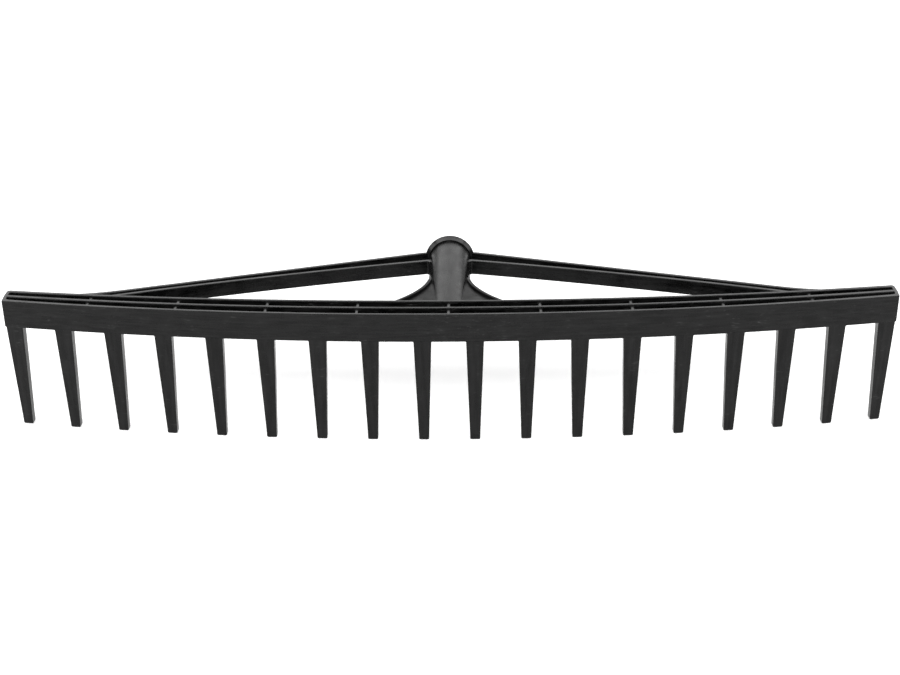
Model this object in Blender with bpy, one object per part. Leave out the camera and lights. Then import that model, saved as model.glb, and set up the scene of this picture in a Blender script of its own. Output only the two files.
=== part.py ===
"""Bow rake head, moulded in black plastic: a bowed crossbar with eighteen teeth and a handle socket.

Frame: +X along the crossbar, +Y from the teeth's front face towards the handle, +Z up with the teeth
pointing down. The origin is under the middle of the head's footprint, level with the tooth tips.

Inside this file, plan positions are first worked out with Y counted from the foremost point of the
crossbar. The empty named rake_head then shifts them all so that the footprint is centred. Lengths are in
millimetres and are turned into metres by MM where a mesh is made.
"""

import math

import bmesh
import bpy
from mathutils import Matrix, Vector

MM = 0.001
GAP = 0.3  # joint line between two members, which are separate solids
CUTTER_OVERRUN = 5.0  # how far a cutter reaches past what it cuts
CUTTER_RISE = 30.0  # how far the crossbar's clearance reaches above and below it

# Teeth
TOOTH_COUNT = 18
TOOTH_PITCH = 36.0
TOOTH_LENGTH = 75.0  # at mid-span, from the tip to the underside of the crossbar
TOOTH_ROOT_WIDTH = 12.3
TOOTH_TIP_WIDTH = 7.0
TOOTH_ROOT_DEPTH = 8.8
TOOTH_TIP_DEPTH = 7.2
TOOTH_FRONT_CHAMFER = 0.7
TOOTH_REAR_CHAMFER = 1.4
TOOTH_TIP_ROUND = 1.1
TIP_SLICES = ((0.0, 0.6), (0.35, 0.2), (1.0, 0.0))  # height and inset, as shares of TOOTH_TIP_ROUND

# Crossbar: three bowed walls on a floor, open at the top
BAR_HALF_LENGTH = 313.0
BAR_HEIGHT = 20.2
BAR_BOW = 30.0  # how far the ends sit behind the middle
BAR_MID_WIDTH = 26.8
BAR_END_WIDTH = 21.0
BAR_END_LIFT = 0.8  # the underside arches up by this much at the ends
BAR_WALL = 2.6  # of the end walls, and of the long walls at mid-span
BAR_WALL_AT_ENDS = 3.8
BAR_FLOOR = 3.0
BAR_END_SWELL = 1.8  # how far the rear of an end stands out beyond its front
BAR_CORNER_RADIUS = 2.2
BAR_CORNER_STEPS = 6
END_WALL_STATIONS = 5
BAR_STATIONS = 33
TOP_Z = TOOTH_LENGTH + BAR_HEIGHT

# Cross ribs in the two grooves
RIBS_EACH_SIDE = 4
RIB_SPACING = 63.0
RIB_THICKNESS = 2.4
RIB_RECESS = 2.2  # how far a rib's top lies below the walls' tops

# Braces: a straight outer rail and a curved inner rail, joined by a web
BRACE_HEIGHT = 10.6
BRACE_WALL = 3.2
WEB_THICKNESS = 2.3  # of the webs of braces and gussets
BRACE_WEB_DROP = 3.7  # from the tops of the rails down to the web
OUTER_RAIL_Y = 133.5  # rear face of the outer rail, carried on to the centre plane
OUTER_RAIL_SLOPE = 0.355
INNER_RAIL_Y = 112.3  # middle of the inner rail, carried on to the centre plane
INNER_RAIL_SLOPE = 0.24
INNER_RAIL_CURVE = 0.00028
BRACE_START_X = 10.0
BRACE_END_X = 262.0
BRACE_STATIONS = 18

# Gussets: curved rails that flare from the socket to the crossbar, with a web
GUSSET_WALL = 2.5
GUSSET_NECK_X = 14.8
GUSSET_NECK_Y = 76.0
GUSSET_CURVE = 0.0095
GUSSET_TOP_Y = 76.0
GUSSET_OVERRUN = 1.0  # trimmed by the crossbar
GUSSET_WEB_DROP = 2.1
GUSSET_WEB_X = 4.0  # the web starts inside the socket, which trims it
GUSSET_STATIONS = 12

# Handle socket: round at its mouth, oval at its foot to suit the crossbar, with a tapered blind bore
SOCKET_TILT = math.radians(3.0)
SOCKET_FOOT_Z = 85.1  # axis height where it meets the crossbar's rear face
SOCKET_MOUTH_Y = 126.2
SOCKET_MOUTH_RADIUS = 15.5
SOCKET_FOOT_HALF_WIDTH = 12.6
SOCKET_FOOT_HALF_HEIGHT = 10.0
SOCKET_STATIONS = 8
SOCKET_OVERRUN = 3.0  # the tube is made too long at its foot, then trimmed by the crossbar
BORE_MOUTH_RADIUS = 13.1
BORE_END_RADIUS = 8.2
BORE_START = 12.0  # distance of the bore's closed end from the crossbar
BORE_OVERRUN = 1.0  # how far its cutter reaches out of the mouth
COLLAR_RADIUS = 18.6
COLLAR_THICKNESS = 2.8
ROUND_SEGMENTS = 48
SMOOTH_ANGLE = math.radians(30)

FOOTPRINT_DEPTH = SOCKET_MOUTH_Y + COLLAR_RADIUS * math.sin(SOCKET_TILT)
PLASTIC_COLOUR = (0.022, 0.022, 0.023, 1.0)
PLASTIC_ROUGHNESS = 0.42


# Curves of the head in plan


def front_y(x):
    """Front face of the crossbar."""
    return BAR_BOW * (x / BAR_HALF_LENGTH) ** 2


def rear_y(x):
    """Rear face of the crossbar, which narrows towards the ends."""
    width = BAR_MID_WIDTH + (BAR_END_WIDTH - BAR_MID_WIDTH) * (x / BAR_HALF_LENGTH) ** 2
    return front_y(x) + width


def middle_y(x):
    return (front_y(x) + rear_y(x)) / 2


def wall_thickness(x):
    """Of the three long walls, which thicken towards the ends."""
    return BAR_WALL + (BAR_WALL_AT_ENDS - BAR_WALL) * (x / BAR_HALF_LENGTH) ** 2


def end_x(y):
    """Outer face of the crossbar's end, which swells outwards towards the rear."""
    share = (y - front_y(BAR_HALF_LENGTH)) / BAR_END_WIDTH
    return BAR_HALF_LENGTH + BAR_END_SWELL * share * (2 - share)


def underside_z(x):
    return TOOTH_LENGTH + BAR_END_LIFT * (x / BAR_HALF_LENGTH) ** 2


def floor_top_z(x):
    return underside_z(x) + BAR_FLOOR


def top_z(_x):
    return TOP_Z


def outer_rail_y(x):
    """Rear face of a brace's outer rail."""
    return OUTER_RAIL_Y - OUTER_RAIL_SLOPE * abs(x)


def inner_rail_y(x):
    """Middle of a brace's inner rail."""
    return INNER_RAIL_Y - INNER_RAIL_SLOPE * abs(x) - INNER_RAIL_CURVE * x * x


def gusset_x(y):
    """Outer face of a gusset."""
    return GUSSET_NECK_X + GUSSET_CURVE * max(GUSSET_NECK_Y - y, 0.0) ** 2


def spread(low, high, count):
    """count evenly spaced values from low to high."""
    return [low + (high - low) * i / (count - 1) for i in range(count)]


# Building blocks


def clear_scene():
    for obj in list(bpy.data.objects):
        bpy.data.objects.remove(obj)


def plastic(name):
    material = bpy.data.materials.new(name + "_plastic")
    material.use_nodes = True
    shader = material.node_tree.nodes["Principled BSDF"]
    shader.inputs["Base Color"].default_value = PLASTIC_COLOUR
    shader.inputs["Roughness"].default_value = PLASTIC_ROUGHNESS
    shader.inputs["Metallic"].default_value = 0.0
    return material


def add_object(name, bm, parent, origin=(0.0, 0.0, 0.0)):
    """Turns the finished bmesh into a named object under parent, with its own origin and material."""
    bmesh.ops.recalc_face_normals(bm, faces=bm.faces)
    bmesh.ops.translate(bm, verts=bm.verts, vec=-Vector(origin) * MM)
    mesh = bpy.data.meshes.new(name)
    bm.to_mesh(mesh)
    bm.free()
    mesh.materials.append(plastic(name))
    obj = bpy.data.objects.new(name, mesh)
    bpy.context.scene.collection.objects.link(obj)
    obj.parent = parent
    obj.location = Vector(origin) * MM
    return obj


def loft(bm, sections):
    """A closed solid through sections, which are loops of points in millimetres with the same count."""
    rings = [[bm.verts.new(Vector(p) * MM) for p in section] for section in sections]
    for ring, following in zip(rings, rings[1:]):
        for i in range(len(ring)):
            j = (i + 1) % len(ring)
            bm.faces.new((ring[i], ring[j], following[j], following[i]))
    bm.faces.new(rings[0])
    bm.faces.new(list(reversed(rings[-1])))


def bowed_strip(name, xs, near_y, far_y, low_z, high_z, parent, anchor_x=0.0):
    """A member along the crossbar, between functions of x. Its origin is on its lower front edge."""
    sections = []
    for x in xs:
        near, far, low, high = near_y(x), far_y(x), low_z(x), high_z(x)
        sections.append([(x, near, low), (x, far, low), (x, far, high), (x, near, high)])
    bm = bmesh.new()
    loft(bm, sections)
    return add_object(name, bm, parent, (anchor_x, near_y(anchor_x), low_z(anchor_x)))


def crossbar_strip(name, inset, near_y, far_y, low_z, high_z, parent):
    """A member as long as the crossbar, stopping short of the outer faces of its ends by inset."""
    near_half = end_x(near_y(BAR_HALF_LENGTH)) - inset
    far_half = end_x(far_y(BAR_HALF_LENGTH)) - inset
    sections = []
    for share in spread(-1.0, 1.0, BAR_STATIONS):
        near_x, far_x = share * near_half, share * far_half
        near, far = near_y(near_x), far_y(far_x)
        low, high = low_z(near_x), high_z(near_x)
        sections.append([(near_x, near, low), (far_x, far, low), (far_x, far, high), (near_x, near, high)])
    bm = bmesh.new()
    loft(bm, sections)
    return add_object(name, bm, parent, (0.0, near_y(0.0), low_z(0.0)))


def prism(name, outline, low, high, parent):
    """A plan outline extruded from height low to height high. Its origin is the outline's first corner."""
    bm = bmesh.new()
    loft(bm, [[(x, y, z) for x, y in outline] for z in (low, high)])
    return add_object(name, bm, parent, (*outline[0], low))


def oval(along, half_width, half_height):
    """A closed outline round the socket's axis, at a distance along it."""
    points = []
    for i in range(ROUND_SEGMENTS):
        turn = 2 * math.pi * i / ROUND_SEGMENTS
        points.append((half_width * math.cos(turn), half_height * math.sin(turn), along))
    return points


def circle(along, radius):
    return oval(along, radius, radius)


def turned(name, sections, parent, closed_ends=True):
    """A solid through sections about the socket's axis. Without closed ends, the last meets the first."""
    bm = bmesh.new()
    if closed_ends:
        loft(bm, sections)
    else:
        rings = [[bm.verts.new(Vector(p) * MM) for p in section] for section in sections]
        for ring, following in zip(rings, rings[1:] + rings[:1]):
            for i in range(ROUND_SEGMENTS):
                j = (i + 1) % ROUND_SEGMENTS
                bm.faces.new((ring[i], ring[j], following[j], following[i]))
    obj = add_object(name, bm, parent)
    obj.matrix_local = socket_matrix()
    obj.data.shade_smooth()
    obj.data.set_sharp_from_angle(angle=SMOOTH_ANGLE)
    return obj


def combine(obj, other, operation):
    modifier = obj.modifiers.new(operation.lower() + "_" + other.name, "BOOLEAN")
    modifier.operation = operation
    modifier.object = other


def as_helper(obj):
    """Hides an object that only shapes others, so that it is no part of the head."""
    obj.hide_render = True
    obj.display_type = "WIRE"
    return obj


# The socket's own axis


def socket_axis():
    return Vector((0, math.cos(SOCKET_TILT), math.sin(SOCKET_TILT)))


def socket_foot():
    """Where the axis meets the rear face of the crossbar."""
    return Vector((0, rear_y(0), SOCKET_FOOT_Z))


def socket_length():
    return (SOCKET_MOUTH_Y - rear_y(0)) / math.cos(SOCKET_TILT)


def socket_matrix():
    """Carries Z onto the socket's axis, starting at its foot, and keeps Y pointing up."""
    up = Vector((0, -math.sin(SOCKET_TILT), math.cos(SOCKET_TILT)))
    side = up.cross(socket_axis())
    turn = Matrix((side, up, socket_axis())).transposed().to_4x4()
    return Matrix.Translation(socket_foot() * MM) @ turn


def socket_section(along, margin=0.0):
    """Outline of the tube at a distance along the axis from the crossbar, grown by margin."""
    share = along / socket_length()
    half_width = SOCKET_FOOT_HALF_WIDTH + (SOCKET_MOUTH_RADIUS - SOCKET_FOOT_HALF_WIDTH) * share
    half_height = SOCKET_FOOT_HALF_HEIGHT + (SOCKET_MOUTH_RADIUS - SOCKET_FOOT_HALF_HEIGHT) * share
    return oval(along, half_width + margin, half_height + margin)


# Members of the head


def make_teeth(parent):
    for i in range(TOOTH_COUNT):
        x = (i - (TOOTH_COUNT - 1) / 2) * TOOTH_PITCH
        make_tooth(f"tooth_{i + 1:02d}", x, parent)


def tooth_section(x, z, width, depth, inset):
    """An eight-sided slice of a tooth, whose front follows the bow and whose sides run straight back."""
    half = width / 2 - inset
    front_cut, rear_cut = TOOTH_FRONT_CHAMFER, TOOTH_REAR_CHAMFER
    near, far = inset, depth - inset
    outline = [
        (-half + front_cut, near),
        (half - front_cut, near),
        (half, near + front_cut),
        (half, far - rear_cut),
        (half - rear_cut, far),
        (-half + rear_cut, far),
        (-half, far - rear_cut),
        (-half, near + front_cut),
    ]
    slope = (front_y(x + half) - front_y(x - half)) / (2 * half)
    return [(x + dx, front_y(x) + slope * dx + dy, z) for dx, dy in outline]


def make_tooth(name, x, parent):
    """A straight tapered tooth, with its origin at its root."""
    root_z = underside_z(abs(x) - TOOTH_ROOT_WIDTH / 2) - GAP
    sections = []
    for height, inset in TIP_SLICES:
        z, cut = height * TOOTH_TIP_ROUND, inset * TOOTH_TIP_ROUND
        sections.append(tooth_section(x, z, TOOTH_TIP_WIDTH, TOOTH_TIP_DEPTH, cut))
    sections.append(tooth_section(x, root_z, TOOTH_ROOT_WIDTH, TOOTH_ROOT_DEPTH, 0.0))
    bm = bmesh.new()
    loft(bm, sections)
    add_object(name, bm, parent, (x, front_y(x), root_z))


def make_crossbar(parent):
    inset = BAR_WALL + GAP

    def behind_front_wall(x):
        return front_y(x) + wall_thickness(x)

    def before_rear_wall(x):
        return rear_y(x) - wall_thickness(x)

    def before_middle_wall(x):
        return middle_y(x) - wall_thickness(x) / 2

    def behind_middle_wall(x):
        return middle_y(x) + wall_thickness(x) / 2

    def above_floor(x):
        return floor_top_z(x) + GAP

    crossbar_strip("crossbar_front_wall", 0.0, front_y, behind_front_wall, underside_z, top_z, parent)
    crossbar_strip("crossbar_rear_wall", inset, before_rear_wall, rear_y, underside_z, top_z, parent)
    crossbar_strip(
        "crossbar_middle_wall", inset, before_middle_wall, behind_middle_wall, above_floor, top_z, parent
    )
    crossbar_strip(
        "crossbar_floor",
        inset,
        lambda x: behind_front_wall(x) + GAP,
        lambda x: before_rear_wall(x) - GAP,
        underside_z,
        floor_top_z,
        parent,
    )
    for side, word in ((-1, "left"), (1, "right")):
        make_end_wall(f"end_wall_{word}", side, parent)
    grooves = (
        ("front", behind_front_wall, before_middle_wall),
        ("rear", behind_middle_wall, before_rear_wall),
    )
    for word, near_y, far_y in grooves:
        for i in range(-RIBS_EACH_SIDE, RIBS_EACH_SIDE + 1):
            name = f"{word}_rib_{i + RIBS_EACH_SIDE + 1}"
            make_rib(name, i * RIB_SPACING, near_y, far_y, parent)


def make_end_wall(name, side, parent):
    """Closes one end of the crossbar, with its rear corner rounded in plan."""
    near = front_y(BAR_HALF_LENGTH) + BAR_WALL_AT_ENDS + GAP
    corner_x = BAR_HALF_LENGTH + BAR_END_SWELL
    corner = Vector((corner_x, rear_y(corner_x)))
    end_normal = Vector((1.0, 0.0))
    rear_normal = Vector((rear_y(corner_x - 1) - rear_y(corner_x), 1.0)).normalized()
    centre = corner - (end_normal + rear_normal) / (1 + end_normal.dot(rear_normal)) * BAR_CORNER_RADIUS
    outer = [(end_x(y), y) for y in spread(near, centre.y, END_WALL_STATIONS)]
    arc = []
    for i in range(1, BAR_CORNER_STEPS + 1):
        point = centre + end_normal.slerp(rear_normal, i / BAR_CORNER_STEPS) * BAR_CORNER_RADIUS
        arc.append((point.x, point.y))
    far_x = corner_x - BAR_WALL
    far = rear_y(far_x)
    inner = [(end_x(y) - BAR_WALL, y) for y in spread(far, near, END_WALL_STATIONS)]
    outline = [(side * x, y) for x, y in outer + arc + inner]
    prism(name, outline, underside_z(BAR_HALF_LENGTH), TOP_Z, parent)


def make_rib(name, x, near_y, far_y, parent):
    """A short plate across one groove, cut to the slant of its walls."""
    sides = [x - RIB_THICKNESS / 2, x + RIB_THICKNESS / 2]
    bowed_strip(
        name,
        sides,
        lambda s: near_y(s) + GAP,
        lambda s: far_y(s) - GAP,
        lambda s: floor_top_z(s) + GAP,
        lambda _s: TOP_Z - RIB_RECESS,
        parent,
        anchor_x=x,
    )


def crossbar_clearance(parent):
    """The space that braces, gussets and socket stay out of: the crossbar and a joint line behind it."""
    half = BAR_HALF_LENGTH + CUTTER_OVERRUN
    xs = spread(-half, half, BAR_STATIONS)
    return as_helper(
        bowed_strip(
            "crossbar_clearance",
            xs,
            lambda x: front_y(x) - CUTTER_OVERRUN,
            lambda x: rear_y(x) + GAP,
            lambda _x: TOOTH_LENGTH - CUTTER_RISE,
            lambda _x: TOP_Z + CUTTER_RISE,
            parent,
        )
    )


def socket_clearance(parent):
    """The space that braces and gussets stay out of: the tube, the collar and a joint line round them."""
    length = socket_length()
    collar_start = length - COLLAR_THICKNESS - GAP
    stations = spread(-CUTTER_OVERRUN, collar_start, SOCKET_STATIONS)
    sections = [socket_section(along, GAP) for along in stations]
    sections.append(circle(collar_start, COLLAR_RADIUS + GAP))
    sections.append(circle(length + CUTTER_OVERRUN, COLLAR_RADIUS + GAP))
    return as_helper(turned("socket_clearance", sections, parent))


def bore_clearance(parent):
    """The tapered hollow that takes the handle."""
    length = socket_length()
    taper = (BORE_MOUTH_RADIUS - BORE_END_RADIUS) / (length - BORE_START)
    end_radius = BORE_MOUTH_RADIUS + taper * BORE_OVERRUN
    sections = [circle(BORE_START, BORE_END_RADIUS), circle(length + BORE_OVERRUN, end_radius)]
    return as_helper(turned("bore_clearance", sections, parent))


def make_socket(trim, parent):
    length = socket_length()
    stations = spread(-SOCKET_OVERRUN, length, SOCKET_STATIONS)
    tube = turned("socket_tube", [socket_section(along) for along in stations], parent)
    combine(tube, bore_clearance(parent), "DIFFERENCE")
    combine(tube, trim, "DIFFERENCE")
    start = length - COLLAR_THICKNESS
    sections = [
        socket_section(start, GAP),
        circle(start, COLLAR_RADIUS),
        circle(length, COLLAR_RADIUS),
        socket_section(length, GAP),
    ]
    turned("socket_collar", sections, parent, closed_ends=False)


def web_z(drop):
    """Lowest and highest level of a web that lies below the rails' tops by drop."""
    return TOP_Z - drop - WEB_THICKNESS, TOP_Z - drop


def make_brace(name, side, trims, parent):
    """An H-section arm of two rails and a web, fused, then trimmed. Its origin is at the socket's end."""
    xs = [side * x for x in spread(BRACE_START_X, BRACE_END_X, BRACE_STATIONS)]
    bottom = TOP_Z - BRACE_HEIGHT
    rail_depth = BRACE_WALL * math.hypot(1, OUTER_RAIL_SLOPE)
    low_web, high_web = web_z(BRACE_WEB_DROP)
    brace = bowed_strip(
        name,
        xs,
        lambda x: outer_rail_y(x) - rail_depth,
        outer_rail_y,
        lambda _x: bottom,
        top_z,
        parent,
        anchor_x=xs[0],
    )
    inner = bowed_strip(
        name + "_inner_rail_shape",
        xs,
        lambda x: inner_rail_y(x) - rail_depth / 2,
        lambda x: inner_rail_y(x) + rail_depth / 2,
        lambda _x: bottom,
        top_z,
        parent,
    )
    web = bowed_strip(
        name + "_web_shape",
        xs,
        inner_rail_y,
        lambda x: outer_rail_y(x) - rail_depth / 2,
        lambda _x: low_web,
        lambda _x: high_web,
        parent,
    )
    combine(brace, as_helper(inner), "UNION")
    combine(brace, as_helper(web), "UNION")
    for trim in trims:
        combine(brace, trim, "DIFFERENCE")


def make_gusset(name, side, trims, parent):
    """A curved rail with a web that reaches in to the socket, fused, then trimmed."""
    low_y = rear_y(GUSSET_NECK_X) - GUSSET_OVERRUN
    ys = spread(low_y, GUSSET_TOP_Y, GUSSET_STATIONS)
    outer = [(gusset_x(y), y) for y in ys]
    inner = []
    for x, y in outer:
        slope = -2 * GUSSET_CURVE * max(GUSSET_NECK_Y - y, 0.0)
        normal = Vector((-1.0, slope)).normalized()
        inner.append((x + normal.x * GUSSET_WALL, y + normal.y * GUSSET_WALL))
    middle = [((a[0] + b[0]) / 2, (a[1] + b[1]) / 2) for a, b in zip(outer, inner)]
    rail_outline = [(side * x, y) for x, y in outer + inner[::-1]]
    axis_side = [(GUSSET_WEB_X, GUSSET_TOP_Y), (GUSSET_WEB_X, middle[0][1])]
    web_outline = [(side * x, y) for x, y in middle[:-1] + axis_side]
    low_web, high_web = web_z(GUSSET_WEB_DROP)
    gusset = prism(name, rail_outline, TOP_Z - BRACE_HEIGHT, TOP_Z, parent)
    web = prism(name + "_web_shape", web_outline, low_web, high_web, parent)
    combine(gusset, as_helper(web), "UNION")
    for trim in trims:
        combine(gusset, trim, "DIFFERENCE")


def make_head():
    head = bpy.data.objects.new("rake_head", None)
    bpy.context.scene.collection.objects.link(head)
    head.location = (0, -FOOTPRINT_DEPTH / 2 * MM, 0)
    bar_trim = crossbar_clearance(head)
    socket_trim = socket_clearance(head)
    make_teeth(head)
    make_crossbar(head)
    make_socket(bar_trim, head)
    for side, word in ((-1, "left"), (1, "right")):
        make_brace(f"brace_{word}", side, (bar_trim, socket_trim), head)
        make_gusset(f"gusset_{word}", side, (bar_trim, socket_trim), head)


clear_scene()
make_head()
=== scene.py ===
"""Looks for the bow rake head: its real, rounded surfaces in place of the CAD solids, and a studio.

Lengths are in millimetres in the helpers and are turned into metres where a mesh is made. Plan positions
count Y from the foremost point of the crossbar, as in the CAD, and FRONT shifts them to the frame.
Materials, lights and the camera are in metres.
"""

import math

import bmesh
import bpy
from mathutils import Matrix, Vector


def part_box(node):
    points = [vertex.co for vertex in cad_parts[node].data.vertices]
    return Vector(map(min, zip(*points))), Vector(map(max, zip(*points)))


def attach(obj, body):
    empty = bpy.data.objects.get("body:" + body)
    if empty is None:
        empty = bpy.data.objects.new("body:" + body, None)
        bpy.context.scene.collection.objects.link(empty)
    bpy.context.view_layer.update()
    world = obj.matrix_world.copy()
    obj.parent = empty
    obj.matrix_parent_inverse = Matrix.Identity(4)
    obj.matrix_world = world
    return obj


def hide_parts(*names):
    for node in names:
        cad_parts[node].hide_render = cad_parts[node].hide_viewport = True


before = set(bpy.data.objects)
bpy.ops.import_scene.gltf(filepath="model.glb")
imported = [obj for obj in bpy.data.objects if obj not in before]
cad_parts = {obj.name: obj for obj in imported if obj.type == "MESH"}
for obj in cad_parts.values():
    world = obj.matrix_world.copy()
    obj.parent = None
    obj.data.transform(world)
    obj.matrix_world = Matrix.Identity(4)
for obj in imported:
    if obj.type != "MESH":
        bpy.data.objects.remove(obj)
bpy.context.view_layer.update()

MM = 0.001
BODY = "root"

# Read from the frame
FRONT_LOW, FRONT_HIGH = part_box("crossbar_front_wall")
FRONT = FRONT_LOW.y / MM
TOP = FRONT_HIGH.z / MM
UNDERSIDE = FRONT_LOW.z / MM
TEETH = sorted(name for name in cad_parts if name.startswith("tooth_"))
RIBS = sorted(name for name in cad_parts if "_rib_" in name)

# Rounded edges
ARC = 5  # steps in one
WALL_EDGE = 0.55
RAIL_EDGE = 0.5
SHARP_ANGLE = math.radians(34)

# Edges that lie inside other members
FLOOR_EDGE = 0.02
WEB_EDGE = 0.05
FOOT_EDGE = 0.1

# Members that overlap end at slightly different heights, so that no two faces lie in one plane
MIDDLE_WALL_TOP = TOP - 0.04
RAIL_TOP = TOP - 0.02
GUSSET_TOP = TOP - 0.03  # and the top of the fillet between brace and tube

# Crossbar, as in the CAD
HALF_LENGTH = 313.0
BOW = 30.0  # how far the ends sit behind the middle
MID_WIDTH = 26.8
END_WIDTH = 21.0
END_LIFT = 0.8  # the underside arches up by this much at the ends
END_SWELL = 1.8  # how far the rear of an end stands out beyond its front
WALL = 2.6  # of the end walls, and of the long walls at mid-span
WALL_AT_ENDS = 3.8
FLOOR = 3.0

# Crossbar, rounded
BAR_STATIONS = 97
OUTER_WALL_RADII = (0.35, 0.02, WALL_EDGE, 0.45)  # lower outer, lower inner, upper inner, upper outer
FRONT_CORNER = (0.8, 4.0)  # radius outside and fillet inside
REAR_CORNER = (2.2, 1.2)
CORNER_STEPS = 8
END_FACE_START = 6.8  # the end's face without its corners, measured from the crossbar's front
END_FACE_STOP = 5.6  # and from its rear
END_FACE_STATIONS = 6
FLOOR_BITE = 0.6  # how far the floor reaches into the outer walls, as a share of WALL
FLOOR_RISE = 0.03  # of its underside above the walls'

# Ribs, which are a little fuller than the CAD's plates
RIB_SWELL = 0.3  # on each side
RIB_RISE = 1.0
RIB_EDGE = 1.2
RIB_BITE = 0.4  # how far a rib reaches into the walls
RIB_FLARE_REACH = 1.6  # from each wall
RIB_FLARE = 0.3
RIB_STATIONS = 13

# Teeth, as in the CAD, with rounded edges
ROOT_HALF, TIP_HALF = 6.15, 3.5
ROOT_DEPTH, TIP_DEPTH = 8.8, 7.2
TIP_ROUND = 1.1
ROOT_FILLET = 0.5
TOOTH_FRONT_EDGE = 0.45
TOOTH_REAR_EDGE = 1.6
TOOTH_PROUD = 0.03  # of the crossbar's front face
FLANK_START = 3.0  # height where the straight part of a tooth starts
FLANK_STATIONS = 8
FILLET_STEPS = 6
END_STEP = 0.85  # from an outermost tooth's flank out to the crossbar's corner

# Handle socket, as in the CAD
SOCKET_TILT = math.radians(3.0)
SOCKET_FOOT_Z = 85.1  # axis height where it meets the crossbar's rear face
MOUTH_Y = 126.2
MOUTH_RADIUS = 15.5
FOOT_HALF_WIDTH = 12.6
FOOT_HALF_HEIGHT = 10.0
BORE_MOUTH = 13.1
BORE_END = 8.2
BORE_START = 12.0  # distance of the bore's closed end from the crossbar
COLLAR_RADIUS = 18.6
COLLAR_THICKNESS = 2.8

# Handle socket, rounded
ROUND_SEGMENTS = 96
FOOT_BITE = 1.6  # how far the tube reaches into the crossbar
TUBE_STATIONS = 40
CREASE = 0.15  # depth of the groove before the collar
CREASE_LIP = 0.35  # step up from the tube on the collar's side
CONE_START, CONE_END = 0.1, 1.7  # the collar's flared front face, from its start along the axis
CONE_FOOT = 0.5  # how far the flared face starts outside the tube
CONE_SHORTFALL = 0.2  # how far it ends inside the rim
RIM_START = 2.1
RIM_ROUND = 0.45
MOUTH_EDGE = 0.6
BORE_LIP = 1.5  # the taper starts and stops this far from the bore's two ends
BORE_ROUND = 1.6  # of the edge of the bore's closed end
BORE_STATIONS = 24

# Braces, as in the CAD
BRACE_HEIGHT = 10.6
BRACE_WALL = 3.2
WEB_THICKNESS = 2.3  # of the webs of braces and gussets
BRACE_WEB_DROP = 3.7  # from the tops of the rails down to the web
OUTER_RAIL_Y = 133.5  # rear face of the outer rail, carried on to the centre plane
OUTER_RAIL_SLOPE = 0.355
INNER_RAIL_Y = 112.3  # middle of the inner rail, carried on to the centre plane
INNER_RAIL_SLOPE = 0.24
INNER_RAIL_CURVE = 0.00028

# Braces, rounded
RAIL_BEND_X = 235.0  # from here on the outer rail bends into the crossbar
RAIL_BEND = 0.0045
RAIL_STRETCH = math.hypot(1, OUTER_RAIL_SLOPE)  # the depth of a slanting rail along Y, in its thicknesses
RAIL_STATIONS = 48
RAIL_LIMIT_Y = MOUTH_Y + 0.4  # the outer rail reaches no further back than this
OUTER_RAIL_START = 16.4  # both rails start inside the socket
INNER_RAIL_START = 13.9
BRACE_WEB_START = 14.2
BRACE_WEB_LIMIT_Y = MOUTH_Y - 1.2
BRACE_WEB_INSET = 1.3  # from the rear face of the outer rail, and a little more where the web ends
BRACE_WEB_END_INSET = 1.5
BRACE_WEB_LEAST = 0.2  # its depth where the two rails meet
BRACE_WEB_STATIONS = 60
BRACE_FILLET = 1.6
BRACE_FILLET_STEPS = 12
TUBE_SIDE = 15.3  # X of the tube's side where the brace meets it

# Gussets, as in the CAD
GUSSET_WALL = 2.5
GUSSET_NECK_X = 14.8
GUSSET_NECK_Y = 76.0
GUSSET_CURVE = 0.0095
GUSSET_WEB_DROP = 2.1

# Gussets, rounded
GUSSET_BITE = 0.6  # how far a gusset reaches into the crossbar
GUSSET_END_Y = 106.0
GUSSET_SINK_Y = 67.0  # from here on, over a stretch, the rail's top sinks into the side of the tube
GUSSET_SINK_STRETCH = 16.0
GUSSET_SINK_DEPTH = 5.5
GUSSET_SPREAD = 0.25  # how far the rail's outer face moves out over that stretch
GUSSET_STATIONS = 70
GUSSET_WEB_X = 9.0  # the web starts inside the socket
GUSSET_WEB_LEAST = 0.4  # its width where the rail has reached the socket
GUSSET_WEB_END_Y = 74.0
GUSSET_WEB_STATIONS = 30
WEB_FILLET = 2.4  # radius between the tube and the web
WEB_FILLET_END_Y = 72.0
WEB_FILLET_STATIONS = 24
WEB_FILLET_STEPS = 8


# Plan curves


def front_y(x):
    return BOW * (x / HALF_LENGTH) ** 2


def rear_y(x):
    return front_y(x) + MID_WIDTH + (END_WIDTH - MID_WIDTH) * (x / HALF_LENGTH) ** 2


def middle_y(x):
    return (front_y(x) + rear_y(x)) / 2


def wall_thickness(x):
    """Of the three long walls, which thicken towards the ends."""
    return WALL + (WALL_AT_ENDS - WALL) * (x / HALF_LENGTH) ** 2


def end_x(y):
    """Outer face of the crossbar's end, which swells outwards towards the rear."""
    share = (y - front_y(HALF_LENGTH)) / END_WIDTH
    return HALF_LENGTH + END_SWELL * share * (2 - share)


def underside_z(x):
    return UNDERSIDE + END_LIFT * (x / HALF_LENGTH) ** 2


def outer_rail_y(x):
    """Rear face of a brace's outer rail, which bends into the crossbar at its end."""
    bend = RAIL_BEND * max(abs(x) - RAIL_BEND_X, 0.0) ** 2
    return OUTER_RAIL_Y - OUTER_RAIL_SLOPE * abs(x) + bend


def inner_rail_y(x):
    """Middle of a brace's inner rail."""
    return INNER_RAIL_Y - INNER_RAIL_SLOPE * abs(x) - INNER_RAIL_CURVE * x * x


def gusset_x(y):
    """Outer face of a gusset."""
    return GUSSET_NECK_X + GUSSET_CURVE * max(GUSSET_NECK_Y - y, 0.0) ** 2


def spread(low, high, count):
    """Evenly spaced values from low to high."""
    return [low + (high - low) * i / (count - 1) for i in range(count)]


# Meshes


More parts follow.
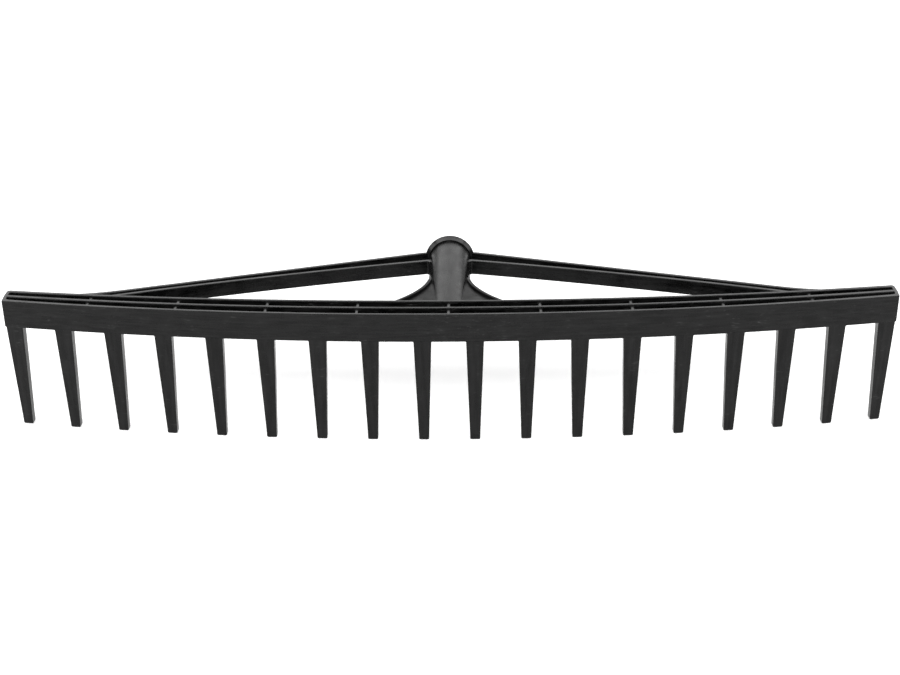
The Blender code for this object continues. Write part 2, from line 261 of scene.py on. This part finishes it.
def finish_piece(name, bm, material, nodes):
    """Makes the piece, shades it, and ties it to the frame."""
    bmesh.ops.recalc_face_normals(bm, faces=bm.faces)
    mesh = bpy.data.meshes.new(name)
    bm.to_mesh(mesh)
    bm.free()
    mesh.materials.append(material)
    mesh.shade_smooth()
    mesh.set_sharp_from_angle(angle=SHARP_ANGLE)
    piece = bpy.data.objects.new(name, mesh)
    bpy.context.scene.collection.objects.link(piece)
    weighted = piece.modifiers.new("weighted normals", "WEIGHTED_NORMAL")
    weighted.keep_sharp = True
    weighted.weight = 80
    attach(piece, BODY)
    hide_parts(*nodes)


def place(p):
    """From the helpers' millimetres to the frame."""
    return Vector((p[0], p[1] + FRONT, p[2])) * MM


def loft(bm, rings, closed=False):
    """Skin through loops of the same count. Closed joins the last to the first, else both are capped."""
    made = [[bm.verts.new(place(p)) for p in ring] for ring in rings]
    pairs = list(zip(made, made[1:]))
    if closed:
        pairs.append((made[-1], made[0]))
    for ring, following in pairs:
        for i in range(len(ring)):
            j = (i + 1) % len(ring)
            bm.faces.new((ring[i], ring[j], following[j], following[i]))
    if not closed:
        bm.faces.new(made[0])
        bm.faces.new(made[-1])


def arc(cx, cy, radius, start, end, steps=ARC):
    """Points on an arc, in degrees."""
    points = []
    for i in range(steps + 1):
        turn = math.radians(start + (end - start) * i / steps)
        points.append((cx + radius * math.cos(turn), cy + radius * math.sin(turn)))
    return points


def rounded_box(low_u, high_u, low_v, high_v, radii):
    """A rectangle in the plane (u, v) with a radius at each corner, anticlockwise from low u, low v."""
    r1, r2, r3, r4 = radii
    corners = (
        (low_u + r1, low_v + r1, r1, 180),
        (high_u - r2, low_v + r2, r2, 270),
        (high_u - r3, high_v - r3, r3, 0),
        (low_u + r4, high_v - r4, r4, 90),
    )
    points = []
    for cu, cv, radius, start in corners:
        points += arc(cu, cv, radius, start, start + 90)
    return points


# The crossbar


def corner_stations(corner, first, second, thickness, rounding):
    """Pairs of outer and inner points round a vertical corner, between outward normals first and second.

    The wall is thickness[0] thick before the corner and thickness[1] after it. Rounding holds the radius
    outside and the fillet inside.
    """
    a, b = Vector(first).normalized(), Vector(second).normalized()
    cosine = a.dot(b)
    mitre = (a + b) / (1 + cosine)
    back_a = (thickness[0] - cosine * thickness[1]) / (1 - cosine * cosine)
    back_b = (thickness[1] - cosine * thickness[0]) / (1 - cosine * cosine)
    inner_corner = Vector(corner) - a * back_a - b * back_b
    radius, fillet = rounding
    stations = []
    for i in range(CORNER_STEPS + 1):
        normal = a.slerp(b, i / CORNER_STEPS)
        outer = Vector(corner) + (normal - mitre) * radius
        inner = inner_corner + (normal - mitre) * fillet
        stations.append((outer, inner))
    return stations


def face_station(x, y, normal, thickness):
    outer = Vector((x, y))
    return outer, outer - Vector(normal).normalized() * thickness


def end_stations():
    """Pairs of outer and inner points from the front corner of the right end to its rear corner."""
    near = front_y(HALF_LENGTH)
    far_x = HALF_LENGTH + END_SWELL
    far = rear_y(far_x)
    front_slope = 2 * BOW / HALF_LENGTH
    rear_slope = 2 * (BOW + END_WIDTH - MID_WIDTH) / HALF_LENGTH
    lean = 2 * END_SWELL / END_WIDTH
    corner = (HALF_LENGTH, near)
    front_walls, rear_walls = (WALL_AT_ENDS, WALL), (WALL, WALL_AT_ENDS)
    stations = corner_stations(corner, (front_slope, -1.0), (1.0, -lean), front_walls, FRONT_CORNER)
    for y in spread(near + END_FACE_START, far - END_FACE_STOP, END_FACE_STATIONS):
        share = (y - near) / END_WIDTH
        stations.append(face_station(end_x(y), y, (1.0, -lean * (1 - share)), WALL))
    corner = (far_x, far)
    return stations + corner_stations(corner, (1.0, 0.0), (-rear_slope, 1.0), rear_walls, REAR_CORNER)


def wall_stations():
    """Pairs of outer and inner points once round the crossbar in plan."""
    xs = spread(-HALF_LENGTH, HALF_LENGTH, BAR_STATIONS)[1:-1]
    square = HALF_LENGTH * HALF_LENGTH
    front = []
    for x in xs:
        front.append(face_station(x, front_y(x), (2 * BOW * x / square, -1.0), wall_thickness(x)))
    rear_bow = BOW + END_WIDTH - MID_WIDTH
    rear = []
    for x in reversed(xs):
        rear.append(face_station(x, rear_y(x), (-2 * rear_bow * x / square, 1.0), wall_thickness(x)))
    right = end_stations()
    left = [tuple(Vector((-p.x, p.y)) for p in pair) for pair in reversed(right)]
    return front + right + rear + left


def make_outer_wall(bm):
    rings = []
    for outer, inner in wall_stations():
        inward = (inner - outer).normalized()
        section = rounded_box(0.0, WALL, underside_z(outer.x), TOP, OUTER_WALL_RADII)
        ring = []
        for depth, z in section:
            point = outer + inward * depth if depth < WALL / 2 else inner - inward * (WALL - depth)
            ring.append((point.x, point.y, z))
        rings.append(ring)
    loft(bm, rings, closed=True)


def strip(bm, low_y, high_y, low_z, high_z, radii):
    """A member along the crossbar with a rounded section, ending inside the end walls.

    The four limits are functions of x.
    """
    low_half = end_x(low_y(HALF_LENGTH)) - WALL / 2
    high_half = end_x(high_y(HALF_LENGTH)) - WALL / 2
    rings = []
    for share in spread(-1.0, 1.0, BAR_STATIONS):
        low_x, high_x = share * low_half, share * high_half
        near, far = low_y(low_x), high_y(high_x)
        section = rounded_box(near, far, low_z(low_x), high_z(low_x), radii)
        ring = []
        for y, z in section:
            ring.append((low_x + (high_x - low_x) * (y - near) / (far - near), y, z))
        rings.append(ring)
    loft(bm, rings)


def make_crossbar(material):
    bm = bmesh.new()
    make_outer_wall(bm)
    strip(
        bm,
        lambda x: middle_y(x) - wall_thickness(x) / 2,
        lambda x: middle_y(x) + wall_thickness(x) / 2,
        lambda x: underside_z(x) + FLOOR / 3,
        lambda _x: MIDDLE_WALL_TOP,
        (FOOT_EDGE, FOOT_EDGE, WALL_EDGE, WALL_EDGE),
    )
    strip(
        bm,
        lambda x: front_y(x) + WALL * FLOOR_BITE,
        lambda x: rear_y(x) - WALL * FLOOR_BITE,
        lambda x: underside_z(x) + FLOOR_RISE,
        lambda x: underside_z(x) + FLOOR,
        (FLOOR_EDGE, FLOOR_EDGE, FLOOR_EDGE, FLOOR_EDGE),
    )
    nodes = [f"crossbar_{word}" for word in ("front_wall", "middle_wall", "rear_wall", "floor")]
    finish_piece("crossbar", bm, material, (*nodes, "end_wall_left", "end_wall_right"))


def add_rib(bm, node, groove):
    """A cross rib in one groove, flared a little where it meets the walls."""
    low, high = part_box(node)
    x = (low.x + high.x) / 2 / MM
    half = (high.x - low.x) / 2 / MM + RIB_SWELL
    top = high.z / MM + RIB_RISE
    foot = underside_z(x) + FLOOR / 2
    wall = wall_thickness(x)
    if groove == "front":
        near, far = front_y(x) + wall - RIB_BITE, middle_y(x) - wall / 2 + RIB_BITE
    else:
        near, far = middle_y(x) + wall / 2 - RIB_BITE, rear_y(x) - wall + RIB_BITE
    rings = []
    for share in spread(0.0, 1.0, RIB_STATIONS):
        y = near + (far - near) * share
        inside_flare = max(0.0, RIB_FLARE_REACH - min(y - near, far - y))
        flare = RIB_FLARE * inside_flare * inside_flare
        radii = (FOOT_EDGE, FOOT_EDGE, RIB_EDGE, RIB_EDGE)
        section = rounded_box(x - half - flare, x + half + flare, foot, top + flare * 0.6, radii)
        rings.append([(u, y, z) for u, z in section])
    loft(bm, rings)


def make_ribs(groove, material):
    nodes = [name for name in RIBS if name.startswith(groove)]
    bm = bmesh.new()
    for node in nodes:
        add_rib(bm, node, groove)
    finish_piece(f"{groove}_groove_ribs", bm, material, nodes)


# Teeth


def tooth_ring(x, z, half, depth, proud):
    """A slice of a tooth, which follows the bow of the crossbar and doesn't reach past its corner."""
    radii = (TOOTH_FRONT_EDGE, TOOTH_FRONT_EDGE, TOOTH_REAR_EDGE, TOOTH_REAR_EDGE)
    section = rounded_box(-half, half, -proud - TOOTH_PROUD, depth, radii)
    slope = (front_y(x + 1.0) - front_y(x - 1.0)) / 2.0
    limit = HALF_LENGTH - END_STEP
    return [(max(-limit, min(limit, x + u)), front_y(x) + slope * u + v, z) for u, v in section]


def make_tooth(node, material):
    low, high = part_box(node)
    x = (low.x + high.x) / 2 / MM
    root = underside_z(x)

    def half_at(z):
        return TIP_HALF + (ROOT_HALF - TIP_HALF) * z / root

    def depth_at(z):
        return TIP_DEPTH + (ROOT_DEPTH - TIP_DEPTH) * z / root

    rings = []
    for i in reversed(range(ARC + 1)):
        turn = math.pi / 2 * i / ARC
        z = TIP_ROUND * (1 - math.sin(turn))
        inset = TIP_ROUND * (1 - math.cos(turn))
        rings.append(tooth_ring(x, z, half_at(z) - inset, depth_at(z) - inset, -inset))
    for z in spread(FLANK_START, root - ROOT_FILLET, FLANK_STATIONS):
        rings.append(tooth_ring(x, z, half_at(z), depth_at(z), 0.0))
    for i in range(1, FILLET_STEPS + 1):
        turn = math.pi / 2 * i / FILLET_STEPS
        z = root - ROOT_FILLET + ROOT_FILLET * math.sin(turn)
        flare = ROOT_FILLET * (1 - math.cos(turn))
        rings.append(tooth_ring(x, z, half_at(z) + flare, depth_at(z) + flare, 0.0))
    # The last two rings are inside the crossbar
    half, depth = half_at(root) + ROOT_FILLET, ROOT_DEPTH + ROOT_FILLET
    rings.append(tooth_ring(x, root + 0.4, half, depth, 0.0))
    rings.append(tooth_ring(x, root + 1.6, half - 0.4, depth, -0.4))
    bm = bmesh.new()
    loft(bm, rings)
    finish_piece(node, bm, material, (node,))


# Braces


def crossing(curve):
    """The x where a rail's line reaches the middle of the crossbar's rear wall."""
    low, high = 100.0, 300.0
    for _ in range(40):
        x = (low + high) / 2
        if curve(x) > rear_y(x) - WALL / 2:
            low = x
        else:
            high = x
    return (low + high) / 2


def rail_rings(side, curve, start):
    """Rings of a rail along its middle line, with the ends cut along the socket and along the crossbar."""
    half = BRACE_WALL / 2 * RAIL_STRETCH
    radii = (RAIL_EDGE, RAIL_EDGE, RAIL_EDGE, RAIL_EDGE)
    section = rounded_box(-half, half, TOP - BRACE_HEIGHT, RAIL_TOP, radii)
    ends = []
    for offset, _z in section:
        ends.append(crossing(lambda x, d=offset: curve(x) + d))
    rings = []
    for share in spread(0.0, 1.0, RAIL_STATIONS):
        ring = []
        for (offset, z), end in zip(section, ends):
            x = start + (end - start) * share
            ring.append((side * x, min(curve(x) + offset, RAIL_LIMIT_Y), z))
        rings.append(ring)
    return rings


def brace_web_rings(side):
    """Rings of the web, whose edges lie inside the two rails and the crossbar."""
    high = TOP - BRACE_WEB_DROP
    radii = (WEB_EDGE, WEB_EDGE, WEB_EDGE, WEB_EDGE)
    last = crossing(lambda x: outer_rail_y(x) - BRACE_WEB_END_INSET)
    rings = []
    for x in spread(BRACE_WEB_START, last, BRACE_WEB_STATIONS):
        near = max(inner_rail_y(x), rear_y(x) - WALL / 2)
        far = min(outer_rail_y(x) - BRACE_WEB_INSET, BRACE_WEB_LIMIT_Y)
        far = max(far, near + BRACE_WEB_LEAST)
        section = rounded_box(near, far, high - WEB_THICKNESS, high, radii)
        rings.append([(side * x, y, z) for y, z in section])
    return rings


def brace_fillet_rings(side):
    """Rings of the hollow fillet in plan between the brace's front face and the side of the tube."""
    face_x = TUBE_SIDE + BRACE_FILLET
    face_y = inner_rail_y(face_x) - BRACE_WALL / 2 * RAIL_STRETCH
    hollow = arc(face_x, face_y - BRACE_FILLET, BRACE_FILLET, 90, 180, BRACE_FILLET_STEPS)
    hidden_x, hidden_y = 11.5, face_y + 1.0
    outline = [(face_x, hidden_y), *hollow, (hidden_x, face_y - BRACE_FILLET), (hidden_x, hidden_y)]
    return [[(side * x, y, z) for x, y in outline] for z in (TOP - BRACE_HEIGHT, GUSSET_TOP)]


def make_brace(word, side, material):
    def outer_rail_middle(x):
        return outer_rail_y(x) - BRACE_WALL / 2 * RAIL_STRETCH

    bm = bmesh.new()
    loft(bm, rail_rings(side, outer_rail_middle, OUTER_RAIL_START))
    loft(bm, rail_rings(side, inner_rail_y, INNER_RAIL_START))
    loft(bm, brace_web_rings(side))
    loft(bm, brace_fillet_rings(side))
    finish_piece(f"brace_{word}", bm, material, (f"brace_{word}",))


# Socket


def socket_place(p):
    """From the socket's own axes (across, up, along) to the helpers' millimetres."""
    across, up, along = p
    y = rear_y(0) + along * math.cos(SOCKET_TILT) - up * math.sin(SOCKET_TILT)
    z = SOCKET_FOOT_Z + along * math.sin(SOCKET_TILT) + up * math.cos(SOCKET_TILT)
    return across, y, z


def socket_length():
    return (MOUTH_Y - rear_y(0)) / math.cos(SOCKET_TILT)


def oval_ring(along, half_width, half_height):
    points = []
    for i in range(ROUND_SEGMENTS):
        turn = 2 * math.pi * i / ROUND_SEGMENTS
        u, v = half_width * math.cos(turn), half_height * math.sin(turn)
        points.append(socket_place((u, v, along)))
    return points


def round_ring(along, radius):
    return oval_ring(along, radius, radius)


def tube_size(along):
    """Half the width and half the height of the tube."""
    share = along / socket_length()
    half_width = FOOT_HALF_WIDTH + (MOUTH_RADIUS - FOOT_HALF_WIDTH) * share
    half_height = FOOT_HALF_HEIGHT + (MOUTH_RADIUS - FOOT_HALF_HEIGHT) * share
    return half_width, half_height


def tube_ring(along, grow=0.0):
    half_width, half_height = tube_size(along)
    return oval_ring(along, half_width + grow, half_height + grow)


def collar_rings(start):
    """Rings of the collar from its start: a thin crease, a flared front face and a rounded rim."""
    rings = [tube_ring(start - 0.1, -0.1), tube_ring(start, -CREASE)]
    rings.append(round_ring(start + 0.02, MOUTH_RADIUS + CREASE_LIP))
    cone_low, cone_high = MOUTH_RADIUS + CONE_FOOT, COLLAR_RADIUS - CONE_SHORTFALL
    for share in (0.0, 0.5, 1.0):
        along = start + CONE_START + (CONE_END - CONE_START) * share
        rings.append(round_ring(along, cone_low + (cone_high - cone_low) * share))
    for degrees in (55.0, 75.0, 90.0):
        turn = math.radians(degrees)
        radius = COLLAR_RADIUS - RIM_ROUND * (1 - math.sin(turn))
        rings.append(round_ring(start + RIM_START - RIM_ROUND * math.cos(turn), radius))
    return rings


def mouth_rings(length):
    """Rings over the mouth's outer edge and back in over the bore's lip."""
    rings = []
    for i in range(ARC + 1):
        turn = math.pi / 2 * i / ARC
        radius = COLLAR_RADIUS - MOUTH_EDGE + MOUTH_EDGE * math.cos(turn)
        rings.append(round_ring(length - MOUTH_EDGE + MOUTH_EDGE * math.sin(turn), radius))
    for i in range(ARC + 1):
        turn = math.pi / 2 * i / ARC
        radius = BORE_MOUTH + MOUTH_EDGE - MOUTH_EDGE * math.sin(turn)
        rings.append(round_ring(length - MOUTH_EDGE + MOUTH_EDGE * math.cos(turn), radius))
    return rings


def bore_rings(length):
    """Rings from the mouth down the tapered bore to its closed end."""
    rings = []
    for along in spread(length - BORE_LIP, BORE_START + BORE_LIP, BORE_STATIONS):
        share = (along - BORE_START) / (length - BORE_START)
        rings.append(round_ring(along, BORE_END + (BORE_MOUTH - BORE_END) * share))
    rings.append(round_ring(BORE_START + BORE_ROUND / 4, BORE_END - BORE_ROUND / 4))
    rings.append(round_ring(BORE_START, BORE_END - BORE_ROUND))
    return rings


def make_socket(material):
    length = socket_length()
    collar_start = length - COLLAR_THICKNESS
    rings = [tube_ring(along) for along in spread(-FOOT_BITE, collar_start - 0.2, TUBE_STATIONS)]
    bm = bmesh.new()
    loft(bm, rings + collar_rings(collar_start) + mouth_rings(length) + bore_rings(length))
    finish_piece("handle_socket", bm, material, ("socket_tube", "socket_collar"))


# Gussets


def gusset_stations(high_y, count):
    """Points on a gusset's outer face with their normals, which point away from the socket."""
    stations = []
    for y in spread(rear_y(0) - GUSSET_BITE, high_y, count):
        slope = -2 * GUSSET_CURVE * max(GUSSET_NECK_Y - y, 0.0)
        stations.append((Vector((gusset_x(y), y)), Vector((1.0, -slope)).normalized()))
    return stations


def gusset_rail_rings(side):
    radii = (RAIL_EDGE, RAIL_EDGE, RAIL_EDGE, RAIL_EDGE)
    rings = []
    for point, normal in gusset_stations(GUSSET_END_Y, GUSSET_STATIONS):
        share = min(max(0.0, (point.y - GUSSET_SINK_Y) / GUSSET_SINK_STRETCH), 1.0)
        top = GUSSET_TOP - GUSSET_SINK_DEPTH * share * share * (3 - 2 * share)
        section = rounded_box(-GUSSET_WALL, GUSSET_SPREAD * share, TOP - BRACE_HEIGHT, top, radii)
        rings.append([(side * (point.x + normal.x * d), point.y + normal.y * d, z) for d, z in section])
    return rings


def gusset_web_rings(side, web_top):
    radii = (WEB_EDGE, WEB_EDGE, WEB_EDGE, WEB_EDGE)
    rings = []
    for point, normal in gusset_stations(GUSSET_WEB_END_Y, GUSSET_WEB_STATIONS):
        inner = point - normal * GUSSET_WALL / 2
        far_x = max(inner.x, GUSSET_WEB_X + GUSSET_WEB_LEAST)
        section = rounded_box(GUSSET_WEB_X, far_x, web_top - WEB_THICKNESS, web_top, radii)
        rings.append([(side * x, inner.y, z) for x, z in section])
    return rings


def web_fillet_ring(side, y, web_top):
    """Section of the hollow fillet between the side of the tube and the web."""
    along = (y - rear_y(0)) / math.cos(SOCKET_TILT)
    half_width, half_height = tube_size(along)
    axis_z = SOCKET_FOOT_Z + along * math.sin(SOCKET_TILT)

    def touch(turn):
        point = Vector((half_width * math.sin(turn), axis_z + half_height * math.cos(turn)))
        normal = Vector((math.sin(turn) / half_width, math.cos(turn) / half_height)).normalized()
        return point, normal

    low, high = math.radians(15), math.radians(90)
    for _ in range(40):
        middle = (low + high) / 2
        point, normal = touch(middle)
        if point.y + WEB_FILLET * normal.y > web_top + WEB_FILLET:
            low = middle
        else:
            high = middle
    centre = point + normal * WEB_FILLET
    start = math.degrees(math.atan2(-normal.y, -normal.x)) % 360
    hollow = arc(centre.x, centre.y, WEB_FILLET, start, 270, WEB_FILLET_STEPS)
    hidden_x, hidden_z = point.x - 1.5, web_top - 0.8
    outline = [*hollow, (centre.x, hidden_z), (hidden_x, hidden_z), (hidden_x, point.y - 0.4)]
    return [(side * x, y, z) for x, z in outline]


def make_gusset(word, side, material):
    web_top = TOP - GUSSET_WEB_DROP
    bm = bmesh.new()
    loft(bm, gusset_rail_rings(side))
    loft(bm, gusset_web_rings(side, web_top))
    ys = spread(rear_y(0) - GUSSET_BITE, WEB_FILLET_END_Y, WEB_FILLET_STATIONS)
    loft(bm, [web_fillet_ring(side, y, web_top) for y in ys])
    finish_piece(f"gusset_{word}", bm, material, (f"gusset_{word}",))


# Materials: frequencies are per metre, and shades are linear albedo

PLASTIC_IOR = 1.26
STREAK_SHADE = 0.0042
MOTTLE_SHADE = 0.0014
SCUFF_SHADE = 0.022
MOTTLE_ROUGHNESS = 0.04
SCUFF_ROUGHNESS = 0.15
POLISH = 0.08  # how much smoother the polished stretch is
MOTTLE_FREQUENCY = 95.0
GRAIN_FREQUENCY = 2600.0
SCRATCH_FREQUENCIES = (120, 900, 1600)
PATCH_FREQUENCIES = (260, 260, 1100)
PATCH_X = 0.016
PATCH_STRENGTH = 0.6
BUMP_DEPTH = 0.00014
BUMP_STRENGTH = 0.25
GRAIN_SHARE = 0.25  # of the fine grain in the bump, beside the streaks


def math_node(tree, operation, a, b=None):
    node = tree.nodes.new("ShaderNodeMath")
    node.operation = operation
    for socket, value in zip(node.inputs, (a, b)):
        if value is None:
            continue
        if isinstance(value, (int, float)):
            socket.default_value = value
        else:
            tree.links.new(value, socket)
    return node.outputs[0]


def noise_node(tree, vector, scale, stretch=(1, 1, 1), detail=3.0, roughness=0.5):
    mapping = tree.nodes.new("ShaderNodeMapping")
    mapping.inputs["Scale"].default_value = stretch
    tree.links.new(vector, mapping.inputs["Vector"])
    node = tree.nodes.new("ShaderNodeTexNoise")
    node.inputs["Scale"].default_value = scale
    node.inputs["Detail"].default_value = detail
    node.inputs["Roughness"].default_value = roughness
    tree.links.new(mapping.outputs[0], node.inputs["Vector"])
    return node.outputs["Fac"]


def ramp_node(tree, value, low, high, out_low, out_high):
    node = tree.nodes.new("ShaderNodeMapRange")
    for name, number in zip(("From Min", "From Max", "To Min", "To Max"), (low, high, out_low, out_high)):
        node.inputs[name].default_value = number
    tree.links.new(value, node.inputs["Value"])
    return node.outputs[0]


def axis_node(tree, position, axis):
    node = tree.nodes.new("ShaderNodeSeparateXYZ")
    tree.links.new(position, node.inputs[0])
    return node.outputs[axis]


def scuff_mask(tree, position, mottle):
    """Short pale scratches, only where the mottling is high."""
    scratches = noise_node(tree, position, 1.0, SCRATCH_FREQUENCIES, detail=2.0)
    lines = ramp_node(tree, scratches, 0.64, 0.72, 0.0, 1.0)
    return math_node(tree, "MULTIPLY", lines, ramp_node(tree, mottle, 0.5, 0.62, 0.0, 1.0))


def rubbed_patch(tree, position):
    """Fine pale scratches on the front face, a little to the right of mid-span."""
    x = axis_node(tree, position, "X")
    offset = math_node(tree, "ABSOLUTE", math_node(tree, "SUBTRACT", x, PATCH_X))
    zone = ramp_node(tree, offset, 0.022, 0.05, 1.0, 0.0)
    fine = noise_node(tree, position, 1.0, PATCH_FREQUENCIES, detail=3.0, roughness=0.6)
    return math_node(tree, "MULTIPLY", zone, ramp_node(tree, fine, 0.6, 0.74, 0.0, PATCH_STRENGTH))


def plastic_colour(tree, streaks, mottle, scuffs):
    streak_shade = ramp_node(tree, streaks, 0.38, 0.72, 0.0, STREAK_SHADE)
    mottle_shade = ramp_node(tree, mottle, 0.38, 0.68, 0.0, MOTTLE_SHADE)
    shade = math_node(tree, "ADD", streak_shade, mottle_shade)
    shade = math_node(tree, "ADD", shade, math_node(tree, "MULTIPLY", scuffs, SCUFF_SHADE))
    colour = tree.nodes.new("ShaderNodeCombineColor")
    for socket in colour.inputs:
        tree.links.new(shade, socket)
    return colour.outputs[0]


def plastic_roughness(tree, streaks, mottle, scuffs, smooth, rough):
    base = ramp_node(tree, streaks, 0.3, 0.7, smooth, rough)
    patches = ramp_node(tree, mottle, 0.35, 0.65, -MOTTLE_ROUGHNESS, MOTTLE_ROUGHNESS)
    roughness = math_node(tree, "ADD", base, patches)
    return math_node(tree, "ADD", roughness, math_node(tree, "MULTIPLY", scuffs, SCUFF_ROUGHNESS))


def plastic_bump(tree, position, streaks):
    grain = noise_node(tree, position, GRAIN_FREQUENCY, detail=2.0)
    bump = tree.nodes.new("ShaderNodeBump")
    bump.inputs["Strength"].default_value = BUMP_STRENGTH
    bump.inputs["Distance"].default_value = BUMP_DEPTH
    height = math_node(tree, "ADD", math_node(tree, "MULTIPLY", grain, GRAIN_SHARE), streaks)
    tree.links.new(height, bump.inputs["Height"])
    return bump.outputs[0]


def black_plastic(name, streaking, smooth=0.24, rough=0.34, worn=False, polished_from=None):
    """Satin black moulded plastic with a fine grain, flow streaks, mottling and scuffs.

    Streaking holds the streaks' frequency along each axis, and the roughness runs from smooth to rough.
    Worn adds a rubbed patch near mid-span, and what lies behind polished_from is smoother.
    """
    material = bpy.data.materials.new(name)
    material.use_nodes = True
    tree = material.node_tree
    shader = tree.nodes["Principled BSDF"]
    shader.inputs["IOR"].default_value = PLASTIC_IOR
    position = tree.nodes.new("ShaderNodeTexCoord").outputs["Object"]
    streaks = noise_node(tree, position, 1.0, streaking, detail=4.0, roughness=0.62)
    mottle = noise_node(tree, position, MOTTLE_FREQUENCY, detail=4.0, roughness=0.55)
    scuffs = scuff_mask(tree, position, mottle)
    if worn:
        scuffs = math_node(tree, "MAXIMUM", scuffs, rubbed_patch(tree, position))
    roughness = plastic_roughness(tree, streaks, mottle, scuffs, smooth, rough)
    if polished_from is not None:
        y = axis_node(tree, position, "Y")
        polish = ramp_node(tree, y, polished_from, polished_from + 0.0005, 0.0, POLISH)
        roughness = math_node(tree, "SUBTRACT", roughness, polish)
    tree.links.new(plastic_colour(tree, streaks, mottle, scuffs), shader.inputs["Base Color"])
    tree.links.new(roughness, shader.inputs["Roughness"])
    tree.links.new(plastic_bump(tree, position, streaks), shader.inputs["Normal"])
    return material


def floor_material():
    material = bpy.data.materials.new("pale_floor")
    material.use_nodes = True
    shader = material.node_tree.nodes["Principled BSDF"]
    shader.inputs["Base Color"].default_value = (0.95, 0.95, 0.95, 1.0)
    shader.inputs["Roughness"].default_value = 0.9
    shader.inputs["Specular IOR Level"].default_value = 0.1
    shader.inputs["Emission Color"].default_value = (1.0, 1.0, 1.0, 1.0)
    shader.inputs["Emission Strength"].default_value = 0.3
    return material


# Studio

FLOOR_HALF_SIZE = 8.0
FLOOR_Z = -0.0004
HEAD_CENTRE = (0.0, 0.0, 0.05)
COLLAR_SIDE = (0.0, 0.1, 0.1)


def make_floor():
    bm = bmesh.new()
    corners = []
    for sx, sy in ((-1, -1), (1, -1), (1, 1), (-1, 1)):
        corners.append(bm.verts.new((sx * FLOOR_HALF_SIZE, sy * FLOOR_HALF_SIZE, FLOOR_Z)))
    bm.faces.new(corners)
    mesh = bpy.data.meshes.new("studio_floor")
    bm.to_mesh(mesh)
    bm.free()
    mesh.materials.append(floor_material())
    floor = bpy.data.objects.new("studio_floor", mesh)
    bpy.context.scene.collection.objects.link(floor)


def make_softbox(name, location, target, width, height, power):
    data = bpy.data.lights.new(name, "AREA")
    data.shape = "RECTANGLE"
    data.size = width
    data.size_y = height
    data.energy = power
    light = bpy.data.objects.new(name, data)
    light.location = location
    light.rotation_mode = "QUATERNION"
    light.rotation_quaternion = (Vector(target) - Vector(location)).to_track_quat("-Z", "Y")
    bpy.context.scene.collection.objects.link(light)


def make_lights():
    world = bpy.data.worlds.new("studio")
    world.use_nodes = True
    background = world.node_tree.nodes["Background"]
    background.inputs["Color"].default_value = (1.0, 1.0, 1.0, 1.0)
    background.inputs["Strength"].default_value = 0.55
    bpy.context.scene.world = world
    make_softbox("front_softbox", (0.0, -2.0, 1.7), HEAD_CENTRE, width=4.4, height=0.8, power=100.0)
    for word, side in (("left", -1), ("right", 1)):
        location = (side * 2.5, -1.9, 0.75)
        make_softbox(f"{word}_softbox", location, COLLAR_SIDE, width=1.3, height=1.2, power=32.0)
    make_softbox("rear_softbox", (0.0, 2.2, 1.3), HEAD_CENTRE, width=3.0, height=1.2, power=20.0)


def make_camera():
    """The camera that was fitted to the photograph."""
    data = bpy.data.cameras.new("camera")
    data.sensor_width = 36.0
    data.lens = 54.77
    data.shift_x = 0.0011
    data.shift_y = 0.0240
    data.clip_start = 0.01
    camera = bpy.data.objects.new("camera", data)
    camera.location = (0.01123, -0.9223, 0.4437)
    camera.rotation_euler = [math.radians(a) for a in (66.048, 0.562, 0.492)]
    bpy.context.scene.collection.objects.link(camera)
    bpy.context.scene.camera = camera


def make_head():
    collar_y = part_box("socket_collar")[0].y
    bar_plastic = black_plastic("black_plastic_crossbar", (45, 160, 700), worn=True)
    tooth_plastic = black_plastic("black_plastic_teeth", (350, 350, 30))
    gusset_plastic = black_plastic("black_plastic_gussets", (180, 180, 500), smooth=0.46, rough=0.56)
    socket_plastic = black_plastic("black_plastic_socket", (330, 28, 330), polished_from=collar_y)
    make_crossbar(bar_plastic)
    for groove in ("front", "rear"):
        make_ribs(groove, bar_plastic)
    for tooth in TEETH:
        make_tooth(tooth, tooth_plastic)
    for word, side in (("left", -1), ("right", 1)):
        make_brace(word, side, bar_plastic)
        make_gusset(word, side, gusset_plastic)
    make_socket(socket_plastic)


make_camera()
make_head()
make_floor()
make_lights()
bpy.context.scene.view_settings.view_transform = "Standard"
bpy.context.scene.view_settings.look = "None"
